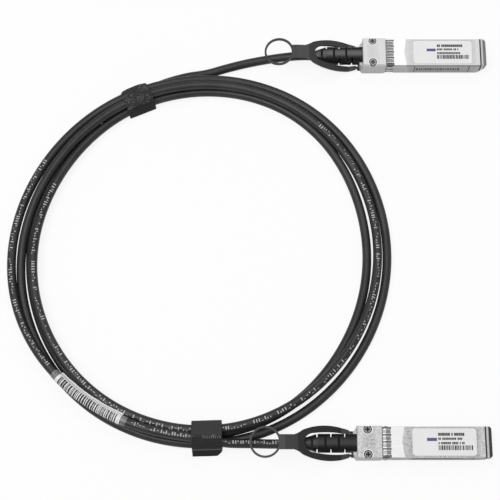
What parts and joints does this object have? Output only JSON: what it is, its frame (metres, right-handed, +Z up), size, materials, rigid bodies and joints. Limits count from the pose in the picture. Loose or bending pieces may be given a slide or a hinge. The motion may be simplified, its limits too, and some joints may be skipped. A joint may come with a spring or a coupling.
{
  "type": "direct attach copper cable",
  "caption": "Copper network cable wound in a loose ring with a metal pluggable module and a pull tab at each end, held by two hook-and-loop straps.",
  "frame": {"origin": "on the surface that the cable lies on, below the middle of the two plugs with their pull tabs", "axes": "+X towards the plugs' noses, +Y from the near plug to the far plug, +Z up"},
  "size_m": [0.2222, 0.1992, 0.011],
  "materials": {
    "die_cast_zinc": "fine cast, plated satin",
    "screw_steel": "plated",
    "collar_steel": "bright sheet",
    "black_plastic": "moulded satin",
    "circuit_board": "solder mask",
    "gold_plating": "plated",
    "component_black": "moulded",
    "ferrule_brass": "drawn",
    "lead_insulation": "extruded",
    "label_film": "satin film",
    "cable_jacket": "extruded satin",
    "hook_and_loop": "woven hook and loop"
  },
  "bodies": {
    "root": {"bottom_shell_a": "die_cast_zinc", "top_cover_a": "die_cast_zinc", "cover_screws_a": "screw_steel", "emi_collar_a": "collar_steel", "return_springs_a": "screw_steel", "paddle_card_a": "circuit_board", "edge_contacts_a": "gold_plating", "card_components_a": "component_black", "crimp_ferrule_a": "ferrule_brass", "twinax_leads_a": "lead_insulation", "strain_relief_a": "black_plastic", "plug_label_a": "label_film", "bottom_shell_b": "die_cast_zinc", "top_cover_b": "die_cast_zinc", "cover_screws_b": "screw_steel", "emi_collar_b": "collar_steel", "return_springs_b": "screw_steel", "paddle_card_b": "circuit_board", "edge_contacts_b": "gold_plating", "card_components_b": "component_black", "crimp_ferrule_b": "ferrule_brass", "twinax_leads_b": "lead_insulation", "strain_relief_b": "black_plastic", "plug_label_b": "label_film", "cable_coil": "cable_jacket", "cable_tail_a": "cable_jacket", "cable_tail_b": "cable_jacket", "tie_upper": "hook_and_loop", "tie_lower": "hook_and_loop"},
    "release_slide_a": {"latch_slide_a": "collar_steel", "pull_tab_a": "black_plastic"},
    "release_slide_b": {"latch_slide_b": "collar_steel", "pull_tab_b": "black_plastic"}
  },
  "joints": [
    {"name": "release_a", "type": "slide", "parent": "root", "child": "release_slide_a", "axis": [-1, 0, 0], "range_m": [0, 0.0025], "stiffness_N_per_m": 300, "springref_m": -0.001, "deforming": ["return_springs_a"]},
    {"name": "release_b", "type": "slide", "parent": "root", "child": "release_slide_b", "axis": [-1, 0, 0], "range_m": [0, 0.0025], "stiffness_N_per_m": 300, "springref_m": -0.001, "deforming": ["return_springs_b"]}
  ]
}
